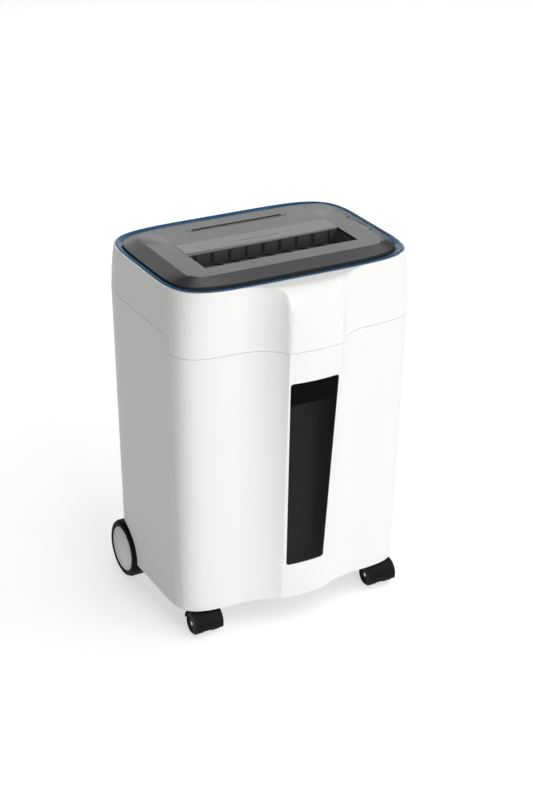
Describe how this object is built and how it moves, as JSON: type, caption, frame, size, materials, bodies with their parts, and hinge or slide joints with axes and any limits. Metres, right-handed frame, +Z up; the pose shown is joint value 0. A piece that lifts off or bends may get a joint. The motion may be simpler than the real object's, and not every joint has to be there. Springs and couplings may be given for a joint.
{
  "type": "paper shredder",
  "caption": "Castered office paper shredder: a head with coupled cutters and a disc slot over a cabinet with a windowed pull-out bin.",
  "frame": {"origin": "centre of the object's footprint on the floor", "axes": "+Z up, +Y to the back, +X to the right seen from the front"},
  "size_m": [0.3858, 0.318, 0.5624],
  "materials": {
    "shell_white": "satin-gloss moulded ABS",
    "trim_blue": "gloss",
    "cover_grey": "fine texture",
    "strip_grey": "fine texture",
    "throat_grey": "fine texture",
    "black_plastic": "fine texture",
    "bucket_grey": "satin",
    "window_smoke": "smoked, gloss",
    "key_grey": "satin",
    "lens_clear": "frosted",
    "zinc_plate": "zinc plated",
    "cutter_steel": "hardened and oiled",
    "gear_steel": "cut",
    "gear_nylon": "natural nylon",
    "bearing_bronze": "oiled bronze",
    "motor_steel": "black oxide",
    "rotor_metal": "windings and shaft",
    "board_green": "solder mask",
    "tyre_black": "moulded rubber",
    "cap_grey": "satin",
    "caster_black": "satin nylon"
  },
  "bodies": {
    "housing": {"head_shell": "shell_white", "trim_ring": "trim_blue", "top_cover": "cover_grey", "throat_liner": "throat_grey", "throat_ribs": "black_plastic", "guide_strip": "strip_grey", "disc_slot_bezel": "cover_grey", "indicator_lenses": "lens_clear", "control_bay": "black_plastic", "cabinet_wrap": "shell_white", "base_tray": "black_plastic", "caster_sockets": "zinc_plate", "mechanism_deck": "black_plastic", "head_screws": "zinc_plate", "left_side_plate": "zinc_plate", "gear_side_plate": "zinc_plate", "cutter_bearings": "bearing_bronze", "tie_rods": "zinc_plate", "stripper_combs": "black_plastic", "motor_can": "motor_steel", "gear_cover": "black_plastic", "control_board": "board_green", "bin_switch": "black_plastic", "power_inlet": "black_plastic", "vent_grille": "black_plastic", "rear_axle": "zinc_plate", "bin_rail_left": "black_plastic", "bin_rail_right": "black_plastic"},
    "bin": {"bin_front": "shell_white", "bin_window": "window_smoke", "bin_bucket": "bucket_grey", "bin_runners": "gear_nylon", "bin_screws": "zinc_plate"},
    "mode_key": {"mode_rocker": "key_grey"},
    "mains_key": {"power_rocker": "black_plastic"},
    "front_cutter": {"cutter_front": "cutter_steel", "sync_gear_front": "gear_steel", "drive_gear": "gear_steel"},
    "rear_cutter": {"cutter_rear": "cutter_steel", "sync_gear_rear": "gear_steel", "transfer_gear_front": "gear_nylon"},
    "front_disc_cutter": {"disc_cutter_front": "cutter_steel", "transfer_gear_rear": "gear_nylon", "disc_gear_front": "gear_steel"},
    "rear_disc_cutter": {"disc_cutter_rear": "cutter_steel", "disc_gear_rear": "gear_steel"},
    "idler": {"idler_gear": "gear_nylon"},
    "armature": {"motor_rotor": "rotor_metal"},
    "caster_left": {"caster_hood_left": "caster_black", "caster_axle_left": "zinc_plate"},
    "caster_wheel_left_inner": {"caster_wheel_left_inner": "caster_black"},
    "caster_wheel_left_outer": {"caster_wheel_left_outer": "caster_black"},
    "rear_wheel_left": {"rear_tyre_left": "tyre_black", "rear_hub_left": "cap_grey"},
    "caster_right": {"caster_hood_right": "caster_black", "caster_axle_right": "zinc_plate"},
    "caster_wheel_right_inner": {"caster_wheel_right_inner": "caster_black"},
    "caster_wheel_right_outer": {"caster_wheel_right_outer": "caster_black"},
    "rear_wheel_right": {"rear_tyre_right": "tyre_black", "rear_hub_right": "cap_grey"}
  },
  "joints": [
    {"name": "bin_slide", "type": "slide", "parent": "housing", "child": "bin", "axis": [0, -1, 0], "range_m": [0, 0.25]},
    {"name": "mode_key_tilt", "type": "hinge", "parent": "housing", "child": "mode_key", "pos_m": [0.162, 0.00815, 0.5525], "axis": [1, 0, 0], "range_deg": [-5, 5], "stiffness_Nm_per_rad": 0.4},
    {"name": "mains_key_tilt", "type": "hinge", "parent": "housing", "child": "mains_key", "pos_m": [0.0885, 0.15185, 0.505], "axis": [1, 0, 0], "range_deg": [-6, 6]},
    {"name": "front_cutter_spin", "type": "hinge", "parent": "housing", "child": "front_cutter", "pos_m": [0, -0.01635, 0.496], "axis": [1, 0, 0], "continuous": true},
    {"name": "rear_cutter_spin", "type": "hinge", "parent": "housing", "child": "rear_cutter", "pos_m": [0, 0.01765, 0.496], "axis": [1, 0, 0], "continuous": true},
    {"name": "front_disc_cutter_spin", "type": "hinge", "parent": "housing", "child": "front_disc_cutter", "pos_m": [0, 0.07665, 0.496], "axis": [1, 0, 0], "continuous": true},
    {"name": "rear_disc_cutter_spin", "type": "hinge", "parent": "housing", "child": "rear_disc_cutter", "pos_m": [0, 0.10065, 0.496], "axis": [1, 0, 0], "continuous": true},
    {"name": "idler_spin", "type": "hinge", "parent": "housing", "child": "idler", "pos_m": [0, -0.05885, 0.496], "axis": [1, 0, 0], "continuous": true},
    {"name": "motor_spin", "type": "hinge", "parent": "housing", "child": "armature", "pos_m": [0, -0.0826, 0.47937], "axis": [1, 0, 0], "continuous": true},
    {"name": "caster_left_swivel", "type": "hinge", "parent": "housing", "child": "caster_left", "pos_m": [-0.15, -0.08135, 0.045], "axis": [0, 0, 1], "continuous": true},
    {"name": "caster_wheel_left_inner_spin", "type": "hinge", "parent": "caster_left", "child": "caster_wheel_left_inner", "pos_m": [-0.15, -0.09435, 0.018], "axis": [1, 0, 0], "continuous": true},
    {"name": "caster_wheel_left_outer_spin", "type": "hinge", "parent": "caster_left", "child": "caster_wheel_left_outer", "pos_m": [-0.15, -0.09435, 0.018], "axis": [1, 0, 0], "continuous": true},
    {"name": "rear_wheel_left_spin", "type": "hinge", "parent": "housing", "child": "rear_wheel_left", "pos_m": [-0.18, 0.11065, 0.0455], "axis": [1, 0, 0], "continuous": true},
    {"name": "caster_right_swivel", "type": "hinge", "parent": "housing", "child": "caster_right", "pos_m": [0.15, -0.08135, 0.045], "axis": [0, 0, 1], "continuous": true},
    {"name": "caster_wheel_right_inner_spin", "type": "hinge", "parent": "caster_right", "child": "caster_wheel_right_inner", "pos_m": [0.15, -0.09435, 0.018], "axis": [1, 0, 0], "continuous": true},
    {"name": "caster_wheel_right_outer_spin", "type": "hinge", "parent": "caster_right", "child": "caster_wheel_right_outer", "pos_m": [0.15, -0.09435, 0.018], "axis": [1, 0, 0], "continuous": true},
    {"name": "rear_wheel_right_spin", "type": "hinge", "parent": "housing", "child": "rear_wheel_right", "pos_m": [0.18, 0.11065, 0.0455], "axis": [1, 0, 0], "continuous": true}
  ],
  "couplings": [
    {"joint": "rear_cutter_spin", "follows": "front_cutter_spin", "ratio": -1},
    {"joint": "front_disc_cutter_spin", "follows": "front_cutter_spin", "ratio": 1},
    {"joint": "rear_disc_cutter_spin", "follows": "front_cutter_spin", "ratio": -1},
    {"joint": "idler_spin", "follows": "front_cutter_spin", "ratio": -4.6667},
    {"joint": "motor_spin", "follows": "front_cutter_spin", "ratio": 22.4}
  ]
}
